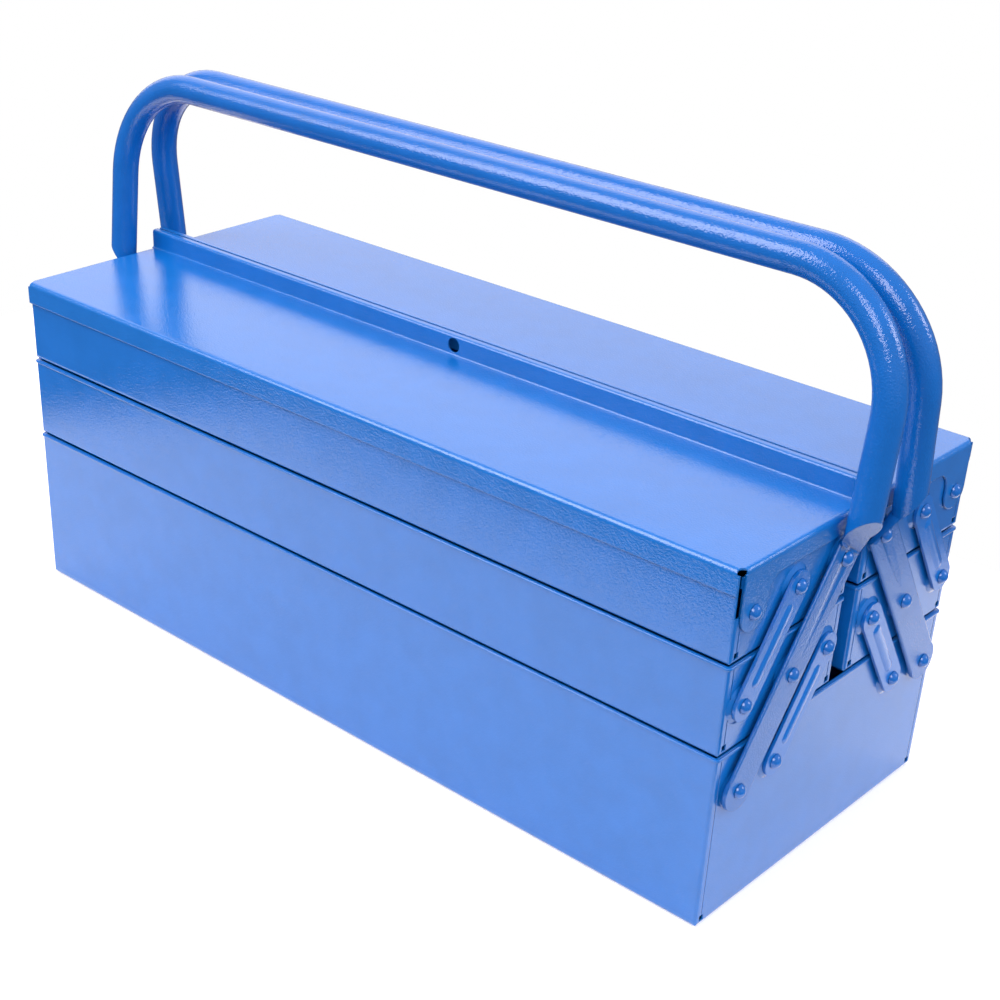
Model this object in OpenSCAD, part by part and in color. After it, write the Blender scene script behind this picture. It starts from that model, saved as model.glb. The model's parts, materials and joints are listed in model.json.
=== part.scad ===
// Cantilever tool box of painted sheet steel, five compartments, two bail handles.
// Origin under the middle of the base, X along the length, Y from front to rear, Z up.
// The shape is drawn closed. Rear parts mirror the front ones, left ends mirror the right ones.

/* [Box] */
// length over the end walls
box_length = 500; // [400:1:620]
// depth over the front and rear walls
box_depth = 198.6; // [180:0.2:240]
// height of the base box
base_height = 96; // [85:0.5:130]
// height of a middle tray
tray_height = 47.4; // [44:0.2:60]
// height from the floor of a top tray to the top of its lid
top_height = 47.6; // [45:0.2:60]
// air between a tray and the rim below it
stack_gap = 0.6; // [0.3:0.1:1]
// space between the front and rear rows of trays
row_gap = 12.4; // [12:0.2:18]

/* [Sheet] */
// sheet thickness
sheet = 1; // [0.8:0.1:1.2]
// outer bend radius along the floor edges
floor_bend = 2.6; // [2:0.1:4]
// outer radius of the upright corners
corner_bend = 1.6; // [1.3:0.1:2.4]
// depth of the doubled hem below the rim
hem_depth = 6; // [4:0.5:9]
// square relief opening at the lower corners
relief_size = 3.2; // [2:0.1:3.5]
// width and depth of the corner seam line
seam = 0.5; // [0.3:0.1:0.6]

/* [Lids] */
// air between a lid and the tray walls
lid_gap = 0.3; // [0.2:0.1:0.6]
// room between the lid and the tray rim
lid_room = 3.6; // [3.5:0.1:5]
// depth of the lid flange along the front
lid_flange = 12.5; // [10:0.5:15]
// depth of the lid flange along the ends
end_flange = 10.4; // [8:0.2:11]
// height of the upturned inner lip
lip_height = 11; // [10.6:0.2:16]
// width of the flange on top of the lip
lip_flange = 4; // [3:0.2:4.4]
// air between the flanges of the two lips
lip_gap = 1.6; // [1:0.2:3]
// bore for a padlock through both lips
padlock_bore = 8; // [6:0.2:9]
// lid hinge, distance from the outer tray wall
hinge_in = 12.2; // [11.6:0.1:12.4]
// lid hinge, distance below the lid top
hinge_down = 24; // [23.5:0.1:26]
// radius of the hinge ear
ear_radius = 9.6; // [9:0.2:10.4]
// hollow radius between the end flange and the ear
ear_fillet = 10; // [6:0.5:11]
// distance of the front flange ends from the lid ends
flange_back = 1.5; // [1.3:0.1:2]
// length of the open corner slot, from the lid top
slot_length = 24; // [20:0.5:28]
// radius of the round relief at the top of the corner slot
slot_round = 3.2; // [2.4:0.1:3.6]
// outer bend radius of the lip
lip_bend = 1.6; // [1.4:0.1:2]
// hollow bend radius where the lip rises from the lid
lip_fillet = 1.2; // [0.8:0.1:1.6]

/* [Linkage] */
// sideways reach of an arm between two pivots
stage_reach = 33; // [28:0.5:36]
// arm pivot on the base, distance from the front wall
arm_in = 16.2; // [16:0.2:20]
// arm pivot on the base, distance below the base rim
arm_down = 22.5; // [20:0.5:26]
// lower link pivot on the base, distance from the front wall
lower_in = 46.2; // [46:0.2:52]
// lower link pivot on the base, distance below the base rim
lower_down = 20.5; // [18:0.5:24]
// upper link pivot on the middle tray, distance from the front wall
upper_in = 12; // [12:0.2:14]
// upper link pivot on the middle tray, height over its floor
upper_up = 24.4; // [22:0.2:26]
// width of a link
link_width = 15.6; // [13:0.2:17]
// thickness of a link
link_sheet = 1.6; // [1.4:0.1:2.2]
// width of the pressed bead on a link
bead_width = 6.4; // [5:0.2:8]
// height of the pressed bead
bead_height = 0.8; // [0.6:0.1:1.4]
// room between a rivet and the bead end
bead_room = 12; // [9:0.5:16]
// height of the pressed bosses on the walls
boss_height = 1.4; // [1.4:0.1:2.4]
// radius at the foot of a boss
boss_foot = 10; // [9.5:0.1:10.5]
// radius at the face of a boss
boss_face = 7.6; // [7:0.1:8.4]
// air on each side of a link, an arm or an ear
side_play = 0.2; // [0.15:0.05:0.3]

/* [Rivets] */
// radius of a rivet shank
shank_radius = 2.6; // [2.2:0.1:3]
// running clearance between a shank and a moving bore
run_play = 0.05; // [0.02:0.01:0.09]
// radius of a rivet head
head_radius = 3.8; // [3.4:0.1:5]
// height of a rivet head
head_height = 3; // [2.4:0.1:3.6]
// radius of the inner rivet end
tail_radius = 3.6; // [3.2:0.1:4.6]
// height of the inner rivet end
tail_height = 1.2; // [1:0.1:1.6]

/* [Handles] */
// outer radius of the handle tube
tube_radius = 7.75; // [7:0.05:8.2]
// distance of the tube from the inner face of the arms
tube_stand = 1.9; // [0.6:0.1:4]
// wall of the handle tube
tube_wall = 1.2; // [1:0.1:1.6]
// thickness of the flattened arm
arm_sheet = 2.2; // [2:0.1:3]
// width of the flattened arm
arm_width = 21; // [19:0.5:24]
// flat length above the top pivot
arm_over = 5.6; // [5.4:0.1:7]
// height of the bars over the lid tops
bar_rise = 104.3; // [90:0.1:140]
// distance of a bar centre from the middle
bar_out = 9.8; // [9.2:0.1:14]
// distance of a leg centre from the middle at its lower end
leg_out = 21.2; // [15:0.1:23]
// height of the lower tube end above the top pivot
leg_up = 10.5; // [8:0.5:14]
// bend radius of the tube centre at the corners
corner_radius = 58; // [36:1:64]
// length over which the outer side of a leg is pressed flat, above the arm
pinch_rise = 12.5; // [9:0.5:15]
// depth of the pressed valley in the flattened arm, at its upper end
groove_depth = 0.6; // [0.3:0.1:1]
// radius of the rounded valley
groove_radius = 13; // [8:0.5:18]
// radius of the drain bore under the bar
drain_radius = 1.5; // [1:0.1:2]

/* [Hidden] */
$fn = 64;
half_length = box_length / 2;
half_depth = box_depth / 2;
tray_depth = half_depth - row_gap / 2;
tray_middle = half_depth - tray_depth / 2;
middle_floor = base_height + stack_gap;
top_floor = middle_floor + tray_height + stack_gap;
rise = tray_height + stack_gap;
lid_top = top_floor + top_height;
top_tray_height = top_height - sheet - lid_room;
stage_length = sqrt(stage_reach * stage_reach + rise * rise);
lean = atan2(stage_reach, rise);

// pivots of the front row, as [y, z]
arm_pivot = [arm_in - half_depth, base_height - arm_down];
lower_pivot = [lower_in - half_depth, base_height - lower_down];
upper_pivot = [upper_in - half_depth, middle_floor + upper_up];
lid_pivot = [hinge_in - half_depth, lid_top - hinge_down];
stage = [stage_reach, rise];

// planes outside an end wall
boss_plane = half_length + boss_height;
link_plane = boss_plane + side_play;
ear_plane = half_length + lid_gap;
tube_plane = link_plane + tube_stand + tube_radius;
lid_half_length = ear_plane + sheet;
lid_front = half_depth + lid_gap + sheet;
ear_edge = lid_pivot[0] - ear_radius;
lip_face = lip_gap / 2 + lip_flange;
bar_height = lid_top + bar_rise;
leg_low = arm_pivot[1] + 2 * rise + leg_up;
tilt = atan2(leg_out - bar_out, bar_height - leg_low);
leg_length = (bar_height - leg_low) / cos(tilt);
pinch_angle = atan2(tube_plane + tube_radius - link_plane - arm_sheet, pinch_rise);
bore_radius = shank_radius + run_play;
tiny = 0.01;

// Helpers

module both_ends() {
    children();
    mirror([1, 0, 0]) children();
}

module rear() {
    mirror([0, 1, 0]) children();
}

// cylinder along +X that starts at plane x and is centred on [y, z]
module pin(x, p, r, h) {
    translate([x, p[0], p[1]]) rotate([0, 90, 0]) cylinder(r = r, h = h);
}

// upright rectangle whose lower corners are rounded
module floor_profile(w, h, r) {
    translate([-w / 2, r]) square([w, h - r]);
    translate([-w / 2 + r, 0]) square([w - 2 * r, h]);
    for (s = [-1, 1])
        translate([s * (w / 2 - r), r]) circle(r);
}

// rectangle with four rounded corners
module plan(l, w, r) {
    square([l, w - 2 * r], center = true);
    square([l - 2 * r, w], center = true);
    for (s = [-1, 1])
        for (t = [-1, 1])
            translate([s * (l / 2 - r), t * (w / 2 - r)]) circle(r);
}

// block with rounded floor edges and upright corners, floor at zero
module tub_block(l, w, h, rf, rc) {
    intersection() {
        rotate([90, 0, 90]) translate([0, 0, -l / 2]) linear_extrude(l) floor_profile(w, h, rf);
        rotate([90, 0, 0]) translate([0, 0, -w / 2]) linear_extrude(w) floor_profile(l, h, rf);
        linear_extrude(h) plan(l, w, rc);
    }
}

// open sheet tub with a doubled, rounded hem along the rim
module tub(l, w, h) {
    difference() {
        tub_block(l, w, h - sheet, floor_bend, corner_bend);
        translate([0, 0, sheet])
            tub_block(l - 2 * sheet, w - 2 * sheet, h, floor_bend - sheet, corner_bend - sheet);
    }
    translate([0, 0, h - hem_depth]) linear_extrude(hem_depth - sheet) hem_plan(l, w);
    intersection() {
        union() {
            for (s = [-1, 1]) {
                translate([-l / 2, s * (w / 2 - sheet), h - sheet])
                    rotate([0, 90, 0]) cylinder(r = sheet, h = l);
                translate([s * (l / 2 - sheet), w / 2, h - sheet])
                    rotate([90, 0, 0]) cylinder(r = sheet, h = w);
            }
        }
        translate([0, 0, h - 2 * sheet]) linear_extrude(2 * sheet) plan(l, w, corner_bend);
    }
}

module hem_plan(l, w) {
    difference() {
        plan(l, w, corner_bend);
        square([l - 4 * sheet, w - 4 * sheet], center = true);
    }
}

// relief openings and seam lines at the four upright corners of a tub
module corner_cuts(l, w, h) {
    for (s = [-1, 1])
        for (t = [-1, 1]) {
            translate([s * l / 2, t * (w / 2 - floor_bend - relief_size / 2), floor_bend + relief_size / 2])
                cube([4 * sheet, relief_size, relief_size], center = true);
            translate([s * l / 2, t * (w / 2 - floor_bend - relief_size / 2), floor_bend + h / 2])
                cube([seam, seam, h], center = true);
        }
}

// pressed boss on the right end wall, hollow behind
module boss(p) {
    pin_cone(half_length - tiny, p, boss_foot, boss_face, boss_height + tiny);
}

module pin_cone(x, p, r1, r2, h) {
    translate([x, p[0], p[1]]) rotate([0, 90, 0]) cylinder(r1 = r1, r2 = r2, h = h);
}

module boss_cut(p) {
    hollow = boss_height + tiny;
    pin_cone(half_length - sheet - tiny, p, boss_foot - sheet / 2, boss_face - sheet / 2, hollow);
    pin(half_length - 2 * sheet, p, shank_radius, boss_height + 4 * sheet);
}

// rivet turned about the X direction: flat end inside, shank, dome outside
module rivet(p, seat, back) {
    ball = (head_radius * head_radius + head_height * head_height) / (2 * head_height);
    reach = seat - back;
    translate([back, p[0], p[1]]) rotate([0, 90, 0]) rotate_extrude() {
        translate([0, -tail_height]) square([tail_radius, tail_height]);
        translate([0, -tail_height]) square([shank_radius, reach + 2 * tail_height]);
        intersection() {
            translate([0, reach + head_height - ball]) circle(ball);
            translate([0, reach]) square([2 * head_radius, 2 * head_height]);
        }
    }
}

module wall_rivet(p, thick) {
    rivet(p, link_plane + thick + side_play, half_length - sheet + boss_height);
}

module lid_rivet(p) {
    rivet(p, ear_plane + sheet + side_play, half_length - sheet);
}

// strap between pivot p and the pivot one stage higher
module link(p) {
    difference() {
        translate([link_plane, p[0], p[1]]) rotate([-lean, 0, 0]) {
            translate([0, -link_width / 2, 0]) cube([link_sheet, link_width, stage_length]);
            for (z = [0, stage_length])
                translate([0, 0, z]) rotate([0, 90, 0]) cylinder(r = link_width / 2, h = link_sheet);
            bead();
        }
        pin(link_plane - sheet, p, bore_radius, link_sheet + 2 * sheet);
        pin(link_plane - sheet, p + stage, bore_radius, link_sheet + 2 * sheet);
    }
}

// rounded bead pressed into a link
module bead() {
    ball = (bead_width * bead_width / 4 + bead_height * bead_height) / (2 * bead_height);
    intersection() {
        translate([link_sheet + bead_height - ball, 0, 0]) {
            translate([0, 0, bead_room]) cylinder(r = ball, h = stage_length - 2 * bead_room);
            for (z = [bead_room, stage_length - bead_room])
                translate([0, 0, z]) sphere(ball);
        }
        translate([link_sheet / 2, -link_width / 2, 0]) cube([link_sheet, link_width, stage_length]);
    }
}

// flattened end of the right handle leg, in place
module arm() {
    long = 2 * stage_length + arm_over;
    flat = arm_width - arm_sheet;
    translate([link_plane, arm_pivot[0], arm_pivot[1]]) rotate([-lean, 0, 0]) {
        translate([0, -flat / 2, 0]) cube([arm_sheet, flat, long]);
        for (s = [-1, 1])
            translate([arm_sheet / 2, s * flat / 2, 0]) cylinder(r = arm_sheet / 2, h = long);
        rotate([0, 90, 0]) cylinder(r = arm_width / 2, h = arm_sheet);
    }
}

module arm_cuts() {
    for (k = [0, 1, 2])
        pin(link_plane - sheet, arm_pivot + k * stage, bore_radius, arm_sheet + 2 * sheet);
    groove_length = 0.85 * stage_length;
    slope = atan2(groove_depth, groove_length);
    translate([link_plane + arm_sheet, arm_pivot[0], arm_pivot[1]]) rotate([-lean, 0, 0])
        translate([groove_radius, 0, 2 * stage_length - groove_length])
            rotate([0, -slope, 0]) cylinder(r = groove_radius, h = groove_length + arm_over);
}

// swept tube of a handle, r is the section radius
module bail(r) {
    translate([0, -bar_out, bar_height]) rotate([-tilt, 0, 0]) {
        straight = tube_plane - corner_radius;
        translate([-straight, 0, 0]) rotate([0, 90, 0]) cylinder(r = r, h = 2 * straight);
        both_ends() {
            translate([straight, 0, -corner_radius]) rotate([90, 0, 0])
                rotate_extrude(angle = 90) translate([corner_radius, 0]) circle(r);
            translate([tube_plane, 0, -corner_radius]) mirror([0, 0, 1])
                cylinder(r = r, h = leg_length - corner_radius);
        }
    }
}

// crimp between the flattened arm and the round leg, let into both
module crimp() {
    face_in = 0.05;
    side_in = 0.6;
    arm_lap = 1;
    tube_in = 0.2;
    tube_lap = 2.5;
    // the leg is pressed solid where its outer side is flattened
    translate([0, -bar_out, bar_height]) rotate([-tilt, 0, 0])
        translate([tube_plane, 0, -leg_length])
            cylinder(r = tube_radius - tube_wall / 2, h = pinch_rise + tube_wall + tube_lap);
    hull() {
        translate([link_plane + face_in, arm_pivot[0], arm_pivot[1]]) rotate([-lean, 0, 0])
            translate([0, side_in - arm_width / 2, 2 * stage_length + arm_over - arm_lap])
                cube([arm_sheet - 2 * face_in, arm_width - 2 * side_in, 1.2 * arm_lap]);
        translate([0, -bar_out, bar_height]) rotate([-tilt, 0, 0])
            translate([tube_plane, 0, -leg_length - tube_lap / 5])
                cylinder(r = tube_radius - tube_in, h = 1.2 * tube_lap);
    }
}

// the part of a leg that the press takes away
module pinch() {
    wide = 2 * arm_width;
    translate([link_plane, arm_pivot[0], arm_pivot[1]]) rotate([-lean, 0, 0])
        translate([arm_sheet, -wide, 2 * stage_length + arm_over]) rotate([0, pinch_angle, 0])
            cube([wide, 2 * wide, wide]);
}

module handle() {
    difference() {
        union() {
            both_ends() {
                arm();
                crimp();
            }
            difference() {
                bail(tube_radius);
                bail(tube_radius - tube_wall);
            }
        }
        both_ends() {
            arm_cuts();
            pinch();
        }
        // drain bore under the bar
        translate([0, -bar_out, bar_height]) mirror([0, 0, 1])
            cylinder(r = drain_radius, h = 2 * tube_radius);
    }
}

// lid of the front row
module lid() {
    difference() {
        union() {
            difference() {
                lid_shell();
                // hollow underside
                translate([-ear_plane, -lid_front + sheet, lid_top - 2 * lid_flange])
                    cube([2 * ear_plane, box_depth, 2 * lid_flange - sheet]);
                // square end at the inner edge
                translate([-box_length, -lip_face + sheet, lid_top - 2 * lid_flange])
                    cube([2 * box_length, box_depth, 3 * lid_flange]);
            }
            front_flange();
            both_ends() ear();
            lip();
        }
        both_ends() {
            corner_slot();
            pin(half_length - sheet, lid_pivot, bore_radius, 4 * sheet);
        }
        translate([0, -lip_face - sheet, lid_top + lip_height / 2]) rotate([-90, 0, 0])
            cylinder(r = padlock_bore / 2, h = lip_face);
    }
}

// open corner between the front flange and the ear, with a round relief through the top
module corner_slot() {
    wide = ear_edge + lid_front;
    translate([lid_half_length - flange_back, ear_edge - 2 * wide, lid_top - 2 * lid_flange])
        cube([2 * wide, 2 * wide, 3 * lid_flange]);
    translate([lid_half_length, -lid_front + slot_round / 2, lid_top - floor_bend])
        cylinder(r = slot_round, h = 2 * floor_bend);
}

module lid_shell() {
    deep = lid_front - lip_face + 4 * floor_bend;
    translate([0, deep / 2 - lid_front, lid_top]) mirror([0, 0, 1])
        tub_block(2 * lid_half_length, deep, end_flange, floor_bend, corner_bend);
}

// flange along the front edge
module front_flange() {
    translate([-lid_half_length + corner_bend, -lid_front, lid_top - lid_flange])
        cube([2 * lid_half_length - 2 * corner_bend, sheet, lid_flange - floor_bend]);
}

// hinge ear hanging from the right end flange
module ear() {
    inner = lid_pivot[0] + ear_radius;
    low = lid_top - end_flange;
    lap = 2 * sheet;
    translate([ear_plane, 0, 0]) rotate([90, 0, 90]) linear_extrude(sheet) {
        translate(lid_pivot) circle(ear_radius);
        translate([ear_edge, lid_pivot[1]]) square([2 * ear_radius, low + lap - lid_pivot[1]]);
        difference() {
            translate([inner - sheet, low - ear_fillet]) square([ear_fillet + sheet, ear_fillet + lap]);
            translate([inner + ear_fillet, low - ear_fillet]) circle(ear_fillet);
        }
    }
}

// upturned lip along the inner edge with its in-turned flange
module lip() {
    round = lip_bend;
    translate([-lid_half_length, 0, 0]) rotate([90, 0, 90]) linear_extrude(2 * lid_half_length) {
        translate([-lip_face, lid_top - sheet]) square([sheet, lip_height + sheet - round]);
        difference() {
            translate([-lip_face - lip_fillet, lid_top - sheet / 2])
                square([lip_fillet + sheet / 2, lip_fillet + sheet / 2]);
            translate([-lip_face - lip_fillet, lid_top + lip_fillet]) circle(lip_fillet);
        }
        translate([-lip_face + round, lid_top + lip_height - sheet]) square([lip_flange - round, sheet]);
        difference() {
            translate([-lip_face + round, lid_top + lip_height - round]) circle(round);
            translate([-lip_face + round, lid_top + lip_height - round]) circle(round - sheet);
            translate([-lip_face + round, lid_top]) square([lip_flange, lip_height - sheet]);
            translate([-lip_face, lid_top]) square([2 * round, lip_height - round]);
        }
    }
}

// Parts

module base_box() {
    color("SteelBlue") difference() {
        union() {
            tub(box_length, box_depth, base_height);
            both_ends() {
                boss(arm_pivot);
                boss(lower_pivot);
                rear() boss(arm_pivot);
                rear() boss(lower_pivot);
            }
        }
        corner_cuts(box_length, box_depth, base_height);
        both_ends() {
            boss_cut(arm_pivot);
            boss_cut(lower_pivot);
            rear() boss_cut(arm_pivot);
            rear() boss_cut(lower_pivot);
        }
    }
}

module front_middle_tray() {
    color("SteelBlue") difference() {
        union() {
            translate([0, -tray_middle, middle_floor]) tub(box_length, tray_depth, tray_height);
            both_ends() {
                boss(arm_pivot + stage);
                boss(lower_pivot + stage);
                boss(upper_pivot);
            }
        }
        translate([0, -tray_middle, middle_floor]) corner_cuts(box_length, tray_depth, tray_height);
        both_ends() {
            boss_cut(arm_pivot + stage);
            boss_cut(lower_pivot + stage);
            boss_cut(upper_pivot);
        }
    }
}

module rear_middle_tray() {
    rear() front_middle_tray();
}

module front_top_tray() {
    notch_low = lid_top - slot_length;
    notch_front = -half_depth + 0.9 * sheet;
    color("SteelBlue") difference() {
        union() {
            translate([0, -tray_middle, top_floor]) tub(box_length, tray_depth, top_tray_height);
            both_ends() {
                boss(arm_pivot + 2 * stage);
                boss(upper_pivot + stage);
            }
        }
        translate([0, -tray_middle, top_floor]) corner_cuts(box_length, tray_depth, top_tray_height);
        both_ends() {
            boss_cut(arm_pivot + 2 * stage);
            boss_cut(upper_pivot + stage);
            pin(half_length - 2 * sheet, lid_pivot, shank_radius, 4 * sheet);
            // open corner behind the corner slot of the lid
            translate([half_length - 2.2 * sheet, notch_front, notch_low])
                cube([4 * sheet, ear_edge + sheet - notch_front, top_tray_height]);
            translate([half_length - 0.8 * sheet, notch_front - 2 * sheet, notch_low])
                cube([4 * sheet, 3 * sheet, top_tray_height]);
        }
    }
}

module rear_top_tray() {
    rear() front_top_tray();
}

module front_lid() {
    color("CornflowerBlue") lid();
}

module rear_lid() {
    rear() front_lid();
}

module front_handle() {
    color("RoyalBlue") handle();
}

module rear_handle() {
    rear() front_handle();
}

module front_lower_link_right() {
    color("DodgerBlue") link(lower_pivot);
}

module front_lower_link_left() {
    mirror([1, 0, 0]) front_lower_link_right();
}

module rear_lower_link_right() {
    rear() front_lower_link_right();
}

module rear_lower_link_left() {
    rear() front_lower_link_left();
}

module front_upper_link_right() {
    color("DodgerBlue") link(upper_pivot);
}

module front_upper_link_left() {
    mirror([1, 0, 0]) front_upper_link_right();
}

module rear_upper_link_right() {
    rear() front_upper_link_right();
}

module rear_upper_link_left() {
    rear() front_upper_link_left();
}

module base_arm_rivets() {
    color("SkyBlue") both_ends() {
        wall_rivet(arm_pivot, arm_sheet);
        rear() wall_rivet(arm_pivot, arm_sheet);
    }
}

module base_link_rivets() {
    color("SkyBlue") both_ends() {
        wall_rivet(lower_pivot, link_sheet);
        rear() wall_rivet(lower_pivot, link_sheet);
    }
}

module front_middle_arm_rivets() {
    color("SkyBlue") both_ends() wall_rivet(arm_pivot + stage, arm_sheet);
}

module front_middle_link_rivets() {
    color("SkyBlue") both_ends() {
        wall_rivet(lower_pivot + stage, link_sheet);
        wall_rivet(upper_pivot, link_sheet);
    }
}

module rear_middle_arm_rivets() {
    rear() front_middle_arm_rivets();
}

module rear_middle_link_rivets() {
    rear() front_middle_link_rivets();
}

module front_top_arm_rivets() {
    color("SkyBlue") both_ends() wall_rivet(arm_pivot + 2 * stage, arm_sheet);
}

module front_top_link_rivets() {
    color("SkyBlue") both_ends() wall_rivet(upper_pivot + stage, link_sheet);
}

module rear_top_arm_rivets() {
    rear() front_top_arm_rivets();
}

module rear_top_link_rivets() {
    rear() front_top_link_rivets();
}

module front_lid_rivets() {
    color("SkyBlue") both_ends() lid_rivet(lid_pivot);
}

module rear_lid_rivets() {
    rear() front_lid_rivets();
}

base_box();
front_middle_tray();
rear_middle_tray();
front_top_tray();
rear_top_tray();
front_lid();
rear_lid();
front_handle();
rear_handle();
front_lower_link_right();
front_lower_link_left();
rear_lower_link_right();
rear_lower_link_left();
front_upper_link_right();
front_upper_link_left();
rear_upper_link_right();
rear_upper_link_left();
base_arm_rivets();
base_link_rivets();
front_middle_arm_rivets();
front_middle_link_rivets();
rear_middle_arm_rivets();
rear_middle_link_rivets();
front_top_arm_rivets();
front_top_link_rivets();
rear_top_arm_rivets();
rear_top_link_rivets();
front_lid_rivets();
rear_lid_rivets();
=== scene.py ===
import json
import math

import bpy
from mathutils import Matrix, Vector


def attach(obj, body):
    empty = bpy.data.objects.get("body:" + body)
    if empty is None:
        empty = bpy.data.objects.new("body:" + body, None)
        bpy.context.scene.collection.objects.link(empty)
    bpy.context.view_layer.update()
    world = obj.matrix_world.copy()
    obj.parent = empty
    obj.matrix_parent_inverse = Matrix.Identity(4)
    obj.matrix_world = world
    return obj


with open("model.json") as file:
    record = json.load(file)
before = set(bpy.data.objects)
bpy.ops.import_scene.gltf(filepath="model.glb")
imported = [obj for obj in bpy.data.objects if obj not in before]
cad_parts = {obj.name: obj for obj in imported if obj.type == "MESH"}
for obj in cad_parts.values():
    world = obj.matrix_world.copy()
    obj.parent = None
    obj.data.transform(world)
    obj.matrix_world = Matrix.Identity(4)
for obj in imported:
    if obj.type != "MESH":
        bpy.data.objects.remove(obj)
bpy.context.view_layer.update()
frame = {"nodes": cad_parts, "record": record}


# camera, fitted to the box edges of the photograph
cameraLook = {
    "place": (0.5948, -0.6762, 0.5390),   # metres, in the frame of the box
    "azimuth": 43.08,                     # degrees round from the front
    "elevation": 30.19,                   # degrees of looking down
    "roll": 1.36,                         # degrees, right side raised
    "lens": 63.72,                        # mm on a 36 mm sensor
    "shift": (0.0985, 0.1357),            # the photograph is cropped off centre
}


def placeCamera(look):
    turn = math.radians(look["azimuth"])
    dip = math.radians(look["elevation"])
    roll = math.radians(look["roll"])
    level = Vector((math.cos(turn), math.sin(turn), 0))
    ahead = Vector((-math.sin(turn) * math.cos(dip), math.cos(turn) * math.cos(dip), -math.sin(dip)))
    above = level.cross(ahead)
    right = level * math.cos(roll) + above * math.sin(roll)
    up = above * math.cos(roll) - level * math.sin(roll)
    data = bpy.data.cameras.new("boxCamera")
    data.lens = look["lens"]
    data.sensor_width = 36
    data.shift_x, data.shift_y = look["shift"]
    camera = bpy.data.objects.new("boxCamera", data)
    bpy.context.scene.collection.objects.link(camera)
    camera.matrix_world = Matrix((right, up, -ahead)).transposed().to_4x4()
    camera.location = look["place"]
    bpy.context.scene.camera = camera


placeCamera(cameraLook)
bpy.context.scene.view_settings.view_transform = "Standard"
print("camera placed")


def addNode(tree, kind, inputs=None, **settings):
    node = tree.nodes.new(kind)
    for key, value in settings.items():
        setattr(node, key, value)
    for socket, value in (inputs or {}).items():
        if isinstance(value, bpy.types.NodeSocket):
            tree.links.new(value, node.inputs[socket])
        else:
            node.inputs[socket].default_value = value
    return node


# a white sheet under the box, its left front corner cut off; the room shows past its edges
sheetLook = {
    # metres, from the right rear corner round by the left
    "outline": ((0.38, 0.34), (-0.66, 0.34), (-0.66, 0.002), (-0.352, -0.383), (0.38, -0.388)),
    "corner": 0.03,
    "level": -0.0002,   # just under the base, so the two don't share a plane
    "white": 0.80,
    "lift": 0.34,       # glow that takes the lit paper to full white, shadows stay
}


def roundCorners(outline, radius, steps=8):
    points = []
    for index, spot in enumerate(outline):
        here = Vector(spot)
        back = (Vector(outline[index - 1]) - here).normalized()
        ahead = (Vector(outline[(index + 1) % len(outline)]) - here).normalized()
        start, end = here + back * radius, here + ahead * radius
        for step in range(steps + 1):
            part = step / steps
            points.append(start * (1 - part) ** 2 + here * 2 * part * (1 - part) + end * part ** 2)
    return points


def buildSheet(look):
    points = roundCorners(look["outline"], look["corner"])
    mesh = bpy.data.meshes.new("paperSheet")
    mesh.from_pydata([(spot.x, spot.y, look["level"]) for spot in points], [], [list(range(len(points)))])
    sheet = bpy.data.objects.new("paperSheet", mesh)
    bpy.context.scene.collection.objects.link(sheet)
    material = bpy.data.materials.new("paperWhite")
    material.use_nodes = True
    tree = material.node_tree
    tree.nodes.clear()
    rays = addNode(tree, "ShaderNodeLightPath").outputs
    seen = addNode(tree, "ShaderNodeMath", {0: rays["Is Camera Ray"], 1: rays["Is Glossy Ray"]},
                   operation="MAXIMUM")
    glow = addNode(tree, "ShaderNodeMath", {0: seen.outputs[0], 1: look["lift"]}, operation="MULTIPLY")
    white = (look["white"],) * 3 + (1,)
    paper = addNode(tree, "ShaderNodeBsdfDiffuse", {"Color": white})
    light = addNode(tree, "ShaderNodeEmission", {"Color": (1, 1, 1, 1), "Strength": glow.outputs[0]})
    both = addNode(tree, "ShaderNodeAddShader", {0: paper.outputs[0], 1: light.outputs[0]})
    addNode(tree, "ShaderNodeOutputMaterial", {"Surface": both.outputs[0]})
    mesh.materials.append(material)


# the room: its light from the horizon up, from below it, and how much dimmer a reflection shows it
studioLook = {"horizon": 0.40, "zenith": 0.66, "below": 0.20, "mirrored": 0.80, "tint": (1.0, 0.96, 1.02)}


def buildWorld(look):
    world = bpy.data.worlds.new("studio")
    bpy.context.scene.world = world
    world.use_nodes = True
    tree = world.node_tree
    tree.nodes.clear()
    rays = addNode(tree, "ShaderNodeLightPath").outputs
    place = addNode(tree, "ShaderNodeTexCoord")
    height = addNode(tree, "ShaderNodeSeparateXYZ", {0: place.outputs["Generated"]}).outputs["Z"]
    rise = addNode(tree, "ShaderNodeMapRange", {"Value": height, "To Min": look["horizon"],
                                                "To Max": look["zenith"]})
    above = addNode(tree, "ShaderNodeMath", {0: height, 1: 0.0}, operation="GREATER_THAN")
    room = addNode(tree, "ShaderNodeMix", {"Factor": above.outputs[0], 2: look["below"],
                                           3: rise.outputs[0]})
    dim = addNode(tree, "ShaderNodeMapRange", {"Value": rays["Is Glossy Ray"], "To Min": 1.0,
                                               "To Max": look["mirrored"]})
    lit = addNode(tree, "ShaderNodeMath", {0: room.outputs[0], 1: dim.outputs[0]}, operation="MULTIPLY")
    inRoom = addNode(tree, "ShaderNodeBackground", {"Color": look["tint"] + (1,),
                                                    "Strength": lit.outputs[0]})
    seen = addNode(tree, "ShaderNodeBackground", {"Color": (1, 1, 1, 1), "Strength": 1.0})
    both = addNode(tree, "ShaderNodeMixShader", {0: rays["Is Camera Ray"], 1: inRoom.outputs[0],
                                                 2: seen.outputs[0]})
    addNode(tree, "ShaderNodeOutputWorld", {"Surface": both.outputs[0]})


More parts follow.
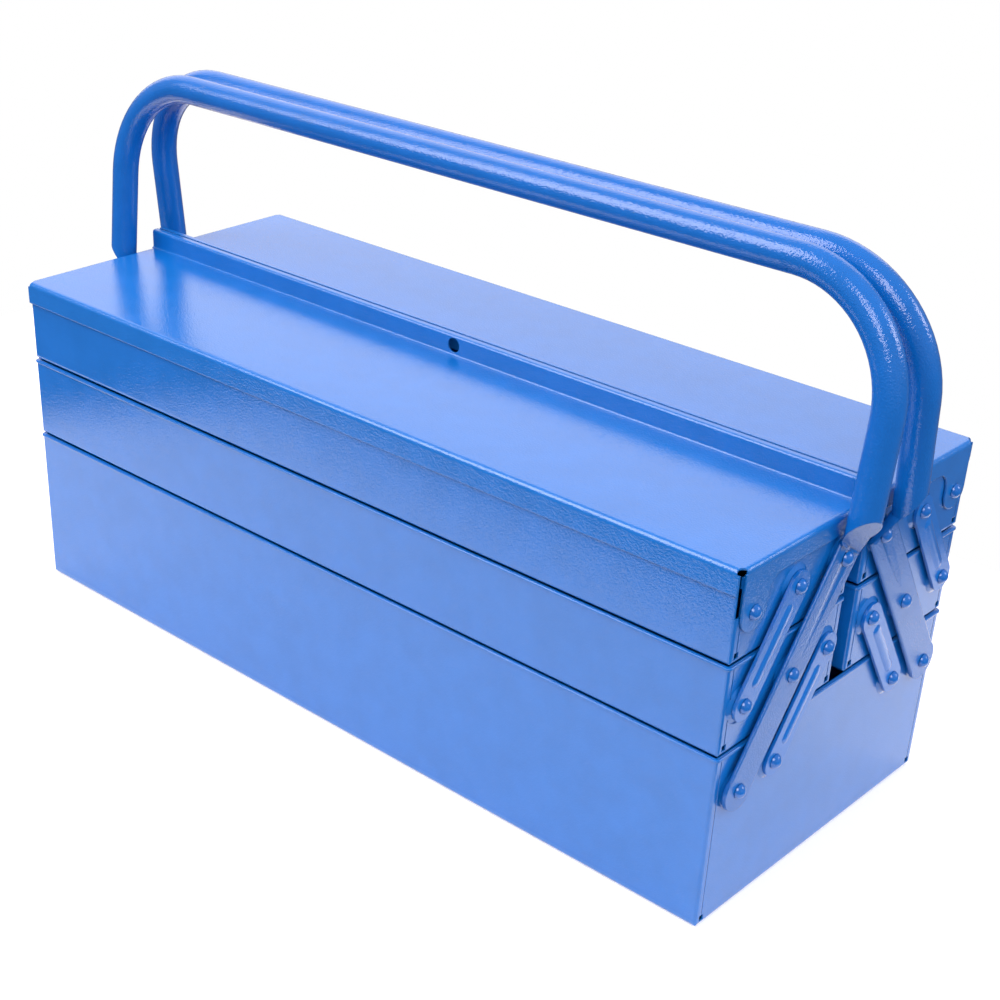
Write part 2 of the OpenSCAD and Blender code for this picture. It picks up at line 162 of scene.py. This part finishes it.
# soft boxes: direction from the middle of the box, distance, size and radiance
boxMiddle = Vector((0, 0, 0.15))
lampLooks = {
    "leftBox": {"towards": (-0.46, -0.54, 0.70), "distance": 2.2, "size": (1.2, 1.55), "radiance": 6.1,
                "mirrored": True},
    "rightBox": {"towards": (0.45, -0.62, 0.62), "distance": 2.2, "size": (0.8, 1.2), "radiance": 6.1,
                 "mirrored": True},
    "rearBox": {"towards": (0.67, 0.58, 0.46), "distance": 2.2, "size": (0.7, 0.7), "radiance": 5.5,
                "mirrored": True},
    "backBox": {"towards": (-0.60, 0.66, 0.46), "distance": 1.9, "size": (3.0, 1.7), "radiance": 0.95,
                "mirrored": True},
    "endFill": {"towards": (1.0, 0.10, 0.30), "distance": 2.0, "size": (2.0, 1.2), "radiance": 1.9,
                "mirrored": False},
    "topFill": {"towards": (-0.30, 0.0, 1.0), "distance": 1.7, "size": (1.6, 1.2), "radiance": 1.5,
                "mirrored": False},
}


def hangLamp(name, look):
    data = bpy.data.lights.new(name, "AREA")
    data.shape = "RECTANGLE"
    data.size, data.size_y = look["size"]
    data.energy = look["radiance"] * math.pi * data.size * data.size_y
    data.color = studioLook["tint"]
    lamp = bpy.data.objects.new(name, data)
    bpy.context.scene.collection.objects.link(lamp)
    towards = Vector(look["towards"]).normalized()
    lamp.location = towards * look["distance"] + boxMiddle
    lamp.rotation_euler = towards.to_track_quat("Z", "Y").to_euler()
    lamp.visible_camera = False
    lamp.visible_glossy = look["mirrored"]


buildSheet(sheetLook)
buildWorld(studioLook)
for lampName, lampLook in lampLooks.items():
    hangLamp(lampName, lampLook)
print("studio lit")


# gloss enamel with an orange peel skin, one look for each kind of piece
paintLooks = {
    "body_paint": {"deep": (0.004, 0.137, 0.475), "fresh": (0.006, 0.151, 0.525), "seed": 1.0,
                   "peel": 0.0009, "peelDepth": 0.00009, "rough": 0.08,
                   "wave": 0.055, "waveDepth": 0.00020, "edge": 0.0005, "coat": 0.5},
    "lid_paint": {"deep": (0.004, 0.140, 0.475), "fresh": (0.006, 0.154, 0.52), "seed": 2.0,
                  "peel": 0.0010, "peelDepth": 0.00012, "rough": 0.12,
                  "wave": 0.080, "waveDepth": 0.00015, "edge": 0.0007, "coat": 0.4},
    "handle_paint": {"deep": (0.003, 0.118, 0.425), "fresh": (0.005, 0.130, 0.47), "seed": 3.0,
                     "peel": 0.0010, "peelDepth": 0.00020, "rough": 0.07,
                     "wave": 0.030, "waveDepth": 0.00004, "edge": 0.0006, "coat": 0.25},
    "linkage_paint": {"deep": (0.004, 0.142, 0.51), "fresh": (0.006, 0.156, 0.56), "seed": 4.0,
                      "peel": 0.0009, "peelDepth": 0.00010, "rough": 0.10,
                      "wave": 0.030, "waveDepth": 0.00004, "edge": 0.0006, "coat": 0.35},
    "rivet_paint": {"deep": (0.004, 0.130, 0.47), "fresh": (0.006, 0.144, 0.52), "seed": 5.0,
                    "peel": 0.0015, "peelDepth": 0.00003, "rough": 0.10,
                    "wave": 0.012, "waveDepth": 0.00001, "edge": 0.0003, "coat": 0.5},
}


# what all the paints share: colour drifting in soft patches, and a clear coat
enamelLook = {"mottle": 0.016, "patch": (0.3, 0.7), "roughSpread": 0.06, "coatRough": 0.06,
              "waveSeed": 7, "mottleSeed": 13, "edgeSamples": 4}


def mixPaint(name, look, shared):
    material = bpy.data.materials.new(name)
    material.use_nodes = True
    tree = material.node_tree
    tree.nodes.clear()
    place = addNode(tree, "ShaderNodeTexCoord").outputs["Object"]

    def grain(size, detail, offset):
        spot = addNode(tree, "ShaderNodeVectorMath", {0: place, 1: (offset, offset * 0.7, offset * 0.3)})
        noise = addNode(tree, "ShaderNodeTexNoise", {"Vector": spot.outputs[0], "Scale": 1 / size,
                                                     "Detail": detail, "Roughness": 0.5})
        return noise.outputs["Fac"]

    peel = grain(look["peel"], 1.0, look["seed"])
    wave = grain(look["wave"], 1.0, look["seed"] + shared["waveSeed"])
    mottle = grain(shared["mottle"], 3.0, look["seed"] + shared["mottleSeed"])
    peelHeight = addNode(tree, "ShaderNodeMath", {0: peel, 1: look["peelDepth"]}, operation="MULTIPLY")
    height = addNode(tree, "ShaderNodeMath", {0: wave, 1: look["waveDepth"], 2: peelHeight.outputs[0]},
                     operation="MULTIPLY_ADD")
    edge = addNode(tree, "ShaderNodeBevel", {"Radius": look["edge"]},
                   samples=shared["edgeSamples"]).outputs[0]
    skin = addNode(tree, "ShaderNodeBump", {"Strength": 1.0, "Distance": 1.0, "Height": height.outputs[0],
                                            "Normal": edge})
    low, high = shared["patch"]
    depth = addNode(tree, "ShaderNodeMapRange", {"Value": mottle, "From Min": low, "From Max": high})
    colour = addNode(tree, "ShaderNodeMix", {"Factor": depth.outputs[0], 6: look["deep"] + (1,),
                                             7: look["fresh"] + (1,)}, data_type="RGBA")
    rough = addNode(tree, "ShaderNodeMapRange", {"Value": mottle, "From Min": low, "From Max": high,
                                                 "To Min": look["rough"],
                                                 "To Max": look["rough"] + shared["roughSpread"]})
    enamel = addNode(tree, "ShaderNodeBsdfPrincipled", {
        "Base Color": colour.outputs[2], "Roughness": rough.outputs[0], "Normal": skin.outputs[0],
        "Specular IOR Level": 0.5, "Coat Weight": look["coat"], "Coat Roughness": shared["coatRough"],
        "Coat Normal": skin.outputs[0]})
    addNode(tree, "ShaderNodeOutputMaterial", {"Surface": enamel.outputs[0]})
    return material


paints = {name: mixPaint(name, look, enamelLook) for name, look in paintLooks.items()}
for row in frame["record"]["subparts"]:
    piece = frame["nodes"][row["node"]]
    if not piece.material_slots:
        piece.data.materials.append(None)
    for slot in piece.material_slots:
        slot.material = paints[row["material_slot"]]
print("paint on", len(frame["nodes"]), "nodes")


# rolled edge along the outer rim of the base and of the middle trays
rimLooks = {
    "baseRim": {"body": "base", "middle": 0.0, "depth": 0.1986, "top": 0.0960},
    "frontTrayRim": {"body": "front_middle_body", "middle": -0.05275, "depth": 0.0931, "top": 0.1440},
    "rearTrayRim": {"body": "rear_middle_body", "middle": 0.05275, "depth": 0.0931, "top": 0.1440},
}
rimShape = {"length": 0.5, "corner": 0.0016, "out": 0.0008, "tall": 0.0018, "let": 0.0002, "round": 0.0007,
            "arcStep": 15, "sharp": 40}   # metres, then degrees


def rollRim(name, look, shape):
    arc = [math.radians(turn) for turn in range(0, 91, shape["arcStep"])]
    path = []
    for quarter, (sideX, sideY) in enumerate(((1, 1), (-1, 1), (-1, -1), (1, -1))):
        centre = Vector((sideX * (shape["length"] / 2 - shape["corner"]),
                         look["middle"] + sideY * (look["depth"] / 2 - shape["corner"]), 0))
        for turn in arc:
            angle = turn + quarter * math.pi / 2
            path.append((centre, Vector((math.cos(angle), math.sin(angle), 0))))
    low, high, rounded = look["top"] - shape["tall"], look["top"], shape["round"]
    outer = shape["corner"] + shape["out"]
    inner = shape["corner"] - shape["let"]
    profile = [(inner, low), (outer - rounded, low)]
    for turn in arc[1:]:
        profile.append((outer - rounded * (1 - math.sin(turn)), low + rounded * (1 - math.cos(turn))))
    for turn in arc:
        profile.append((outer - rounded * (1 - math.cos(turn)), high - rounded * (1 - math.sin(turn))))
    profile.append((inner, high))
    points = [spot + way * reach + Vector((0, 0, level)) for spot, way in path for reach, level in profile]
    count, rings = len(profile), len(path)
    faces = [(ring * count + step, ((ring + 1) % rings) * count + step,
              ((ring + 1) % rings) * count + (step + 1) % count, ring * count + (step + 1) % count)
             for ring in range(rings) for step in range(count)]
    mesh = bpy.data.meshes.new(name)
    mesh.from_pydata(points, [], faces)
    for face in mesh.polygons:
        face.use_smooth = True
    mesh.set_sharp_from_angle(angle=math.radians(shape["sharp"]))
    mesh.materials.append(paints["body_paint"])
    piece = bpy.data.objects.new(name, mesh)
    bpy.context.scene.collection.objects.link(piece)
    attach(piece, look["body"])


for rimName, rimLook in rimLooks.items():
    rollRim(rimName, rimLook, rimShape)
print("rims rolled")
